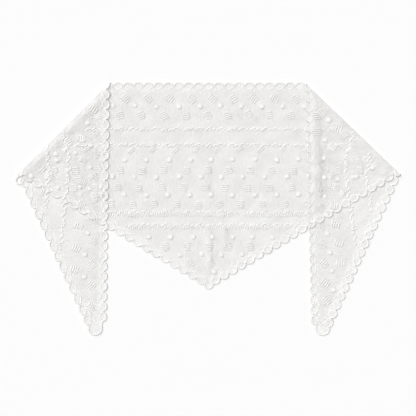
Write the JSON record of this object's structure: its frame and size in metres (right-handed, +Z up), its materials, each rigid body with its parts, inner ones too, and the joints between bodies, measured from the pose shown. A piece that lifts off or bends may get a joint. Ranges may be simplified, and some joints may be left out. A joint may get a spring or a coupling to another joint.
{
  "type": "lace shawl",
  "caption": "Wide triangular lace shawl with a scalloped edging, laid flat with both long ends folded forward over the middle.",
  "frame": {"origin": "on the surface that the shawl lies on, under the middle of its bounding box", "axes": "+Z up from that surface, +X along the long edge to the viewer's right, +Y from the point below towards the long edge"},
  "size_m": [0.8844, 0.5816, 0.0077],
  "materials": {
    "lace": "white knitted lace, matt, slightly sheer",
    "edging": "white corded lace edging, matt"
  },
  "bodies": {
    "root": {"centre_panel": "lace", "left_end": "lace", "right_end": "lace", "edging_top": "edging", "edging_lower_left": "edging", "edging_lower_right": "edging", "edging_left_inner": "edging", "edging_left_outer": "edging", "edging_right_inner": "edging", "edging_right_outer": "edging"}
  },
  "joints": []
}
